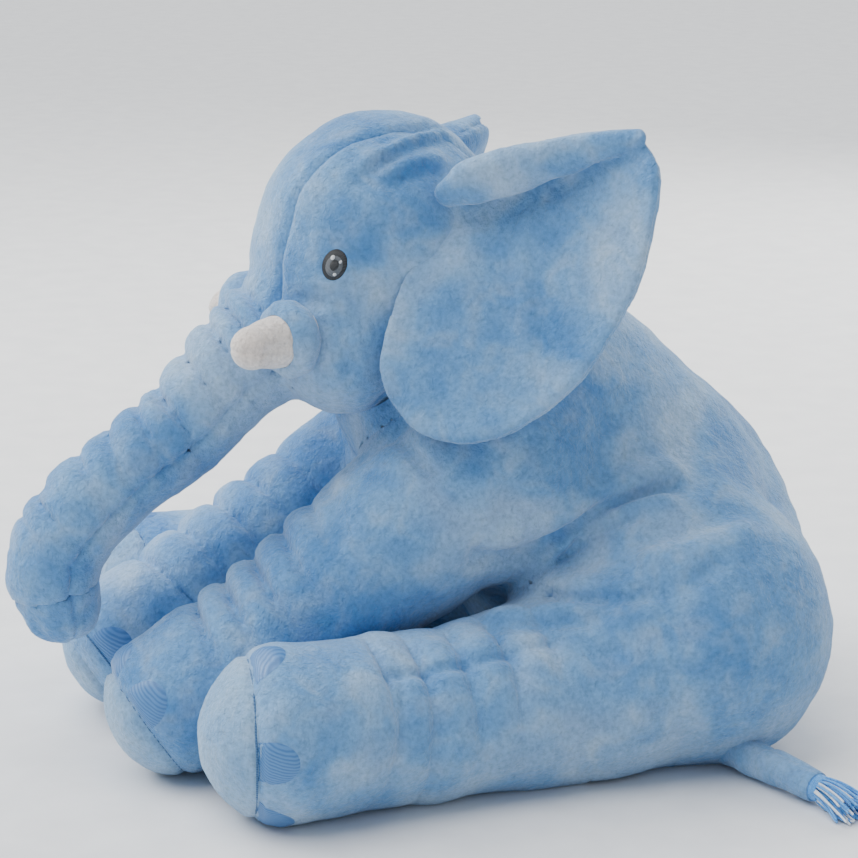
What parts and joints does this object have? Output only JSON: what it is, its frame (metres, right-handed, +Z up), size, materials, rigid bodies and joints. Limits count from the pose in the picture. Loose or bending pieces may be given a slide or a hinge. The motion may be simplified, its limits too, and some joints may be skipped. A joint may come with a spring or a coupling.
{
  "type": "stuffed elephant",
  "caption": "Sitting stuffed elephant with a long lowered trunk, large cupped ears, short tusks, puckered legs and a tasselled tail; soft limbs, ears, trunk and tail bend at their seams.",
  "frame": {"origin": "middle of the flat seat that the toy rests on, on its plane of symmetry", "axes": "+Z up; the elephant faces -Y; its own left side is +X"},
  "size_m": [0.529, 0.549, 0.427],
  "materials": {
    "blue_plush": "short cut pile",
    "tusk_plush": "short brushed pile",
    "eye_thread": "satin-stitched embroidery",
    "toenail_satin": "satin-stitched embroidery",
    "tassel_yarn": "loose spun yarn",
    "polyester_fill": "loose white fibre, hidden"
  },
  "bodies": {
    "torso": {"torso_fill": "polyester_fill", "torso_left_panel": "blue_plush", "torso_right_panel": "blue_plush", "torso_seat_panel": "blue_plush"},
    "head": {"eye_left": "eye_thread", "eye_right": "eye_thread", "head_fill": "polyester_fill", "head_gusset": "blue_plush", "head_left_panel": "blue_plush", "head_right_panel": "blue_plush", "tusk_left_cover": "tusk_plush", "tusk_left_cuff": "blue_plush", "tusk_left_fill": "polyester_fill", "tusk_right_cover": "tusk_plush", "tusk_right_cuff": "blue_plush", "tusk_right_fill": "polyester_fill"},
    "trunk": {"trunk_fill": "polyester_fill", "trunk_under_panel": "blue_plush", "trunk_upper_panel": "blue_plush"},
    "trunk_tip": {"trunk_end_cap": "blue_plush", "trunk_tip_fill": "polyester_fill", "trunk_tip_under_panel": "blue_plush", "trunk_tip_upper_panel": "blue_plush"},
    "ear_left": {"ear_left_back_panel": "blue_plush", "ear_left_front_panel": "blue_plush", "ear_left_wadding": "polyester_fill"},
    "ear_right": {"ear_right_back_panel": "blue_plush", "ear_right_front_panel": "blue_plush", "ear_right_wadding": "polyester_fill"},
    "front_leg_left": {"front_leg_left_cover": "blue_plush", "front_leg_left_fill": "polyester_fill", "front_leg_left_sole": "blue_plush", "front_leg_left_toenails": "toenail_satin"},
    "front_leg_right": {"front_leg_right_cover": "blue_plush", "front_leg_right_fill": "polyester_fill", "front_leg_right_sole": "blue_plush", "front_leg_right_toenails": "toenail_satin"},
    "hind_leg_left": {"hind_leg_left_cover": "blue_plush", "hind_leg_left_fill": "polyester_fill", "hind_leg_left_sole": "blue_plush", "hind_leg_left_toenails": "toenail_satin"},
    "hind_leg_right": {"hind_leg_right_cover": "blue_plush", "hind_leg_right_fill": "polyester_fill", "hind_leg_right_sole": "blue_plush", "hind_leg_right_toenails": "toenail_satin"},
    "tail": {"tail_binding": "tassel_yarn", "tail_cover": "blue_plush", "tail_fill": "polyester_fill", "tail_tassel": "tassel_yarn"}
  },
  "joints": [
    {"name": "head_nod", "type": "hinge", "parent": "torso", "child": "head", "pos_m": [0, -0.194, 0.298], "axis": [-1, 0, 0], "range_deg": [-4, 4], "stiffness_Nm_per_rad": 30},
    {"name": "trunk_lift", "type": "hinge", "parent": "head", "child": "trunk", "pos_m": [0, -0.255, 0.278], "axis": [-1, 0, 0], "range_deg": [-5, 12], "stiffness_Nm_per_rad": 8},
    {"name": "trunk_curl", "type": "hinge", "parent": "trunk", "child": "trunk_tip", "pos_m": [0, -0.358, 0.195], "axis": [-1, 0, 0], "range_deg": [-6, 25], "stiffness_Nm_per_rad": 3},
    {"name": "ear_left_flap", "type": "hinge", "parent": "head", "child": "ear_left", "pos_m": [0.08, -0.185, 0.34], "axis": [0.2745, -0.2096, -0.9385], "range_deg": [-3, 22], "stiffness_Nm_per_rad": 3},
    {"name": "ear_right_flap", "type": "hinge", "parent": "head", "child": "ear_right", "pos_m": [-0.08, -0.185, 0.34], "axis": [0.2745, 0.2096, 0.9385], "range_deg": [-3, 22], "stiffness_Nm_per_rad": 3},
    {"name": "front_leg_left_lift", "type": "hinge", "parent": "torso", "child": "front_leg_left", "pos_m": [0.078, -0.123, 0.195], "axis": [-1, 0, 0], "range_deg": [0, 13], "stiffness_Nm_per_rad": 10},
    {"name": "front_leg_right_lift", "type": "hinge", "parent": "torso", "child": "front_leg_right", "pos_m": [-0.078, -0.123, 0.195], "axis": [-1, 0, 0], "range_deg": [0, 13], "stiffness_Nm_per_rad": 10},
    {"name": "hind_leg_left_splay", "type": "hinge", "parent": "torso", "child": "hind_leg_left", "pos_m": [0.136, -0.088, 0.07], "axis": [0, 0, 1], "range_deg": [0, 18], "stiffness_Nm_per_rad": 10},
    {"name": "hind_leg_right_splay", "type": "hinge", "parent": "torso", "child": "hind_leg_right", "pos_m": [-0.136, -0.088, 0.07], "axis": [0, 0, -1], "range_deg": [0, 18], "stiffness_Nm_per_rad": 10},
    {"name": "tail_swing", "type": "hinge", "parent": "torso", "child": "tail", "pos_m": [0.175, 0.004, 0.014], "axis": [0, 0, 1], "range_deg": [-10, 12], "stiffness_Nm_per_rad": 0.5}
  ]
}
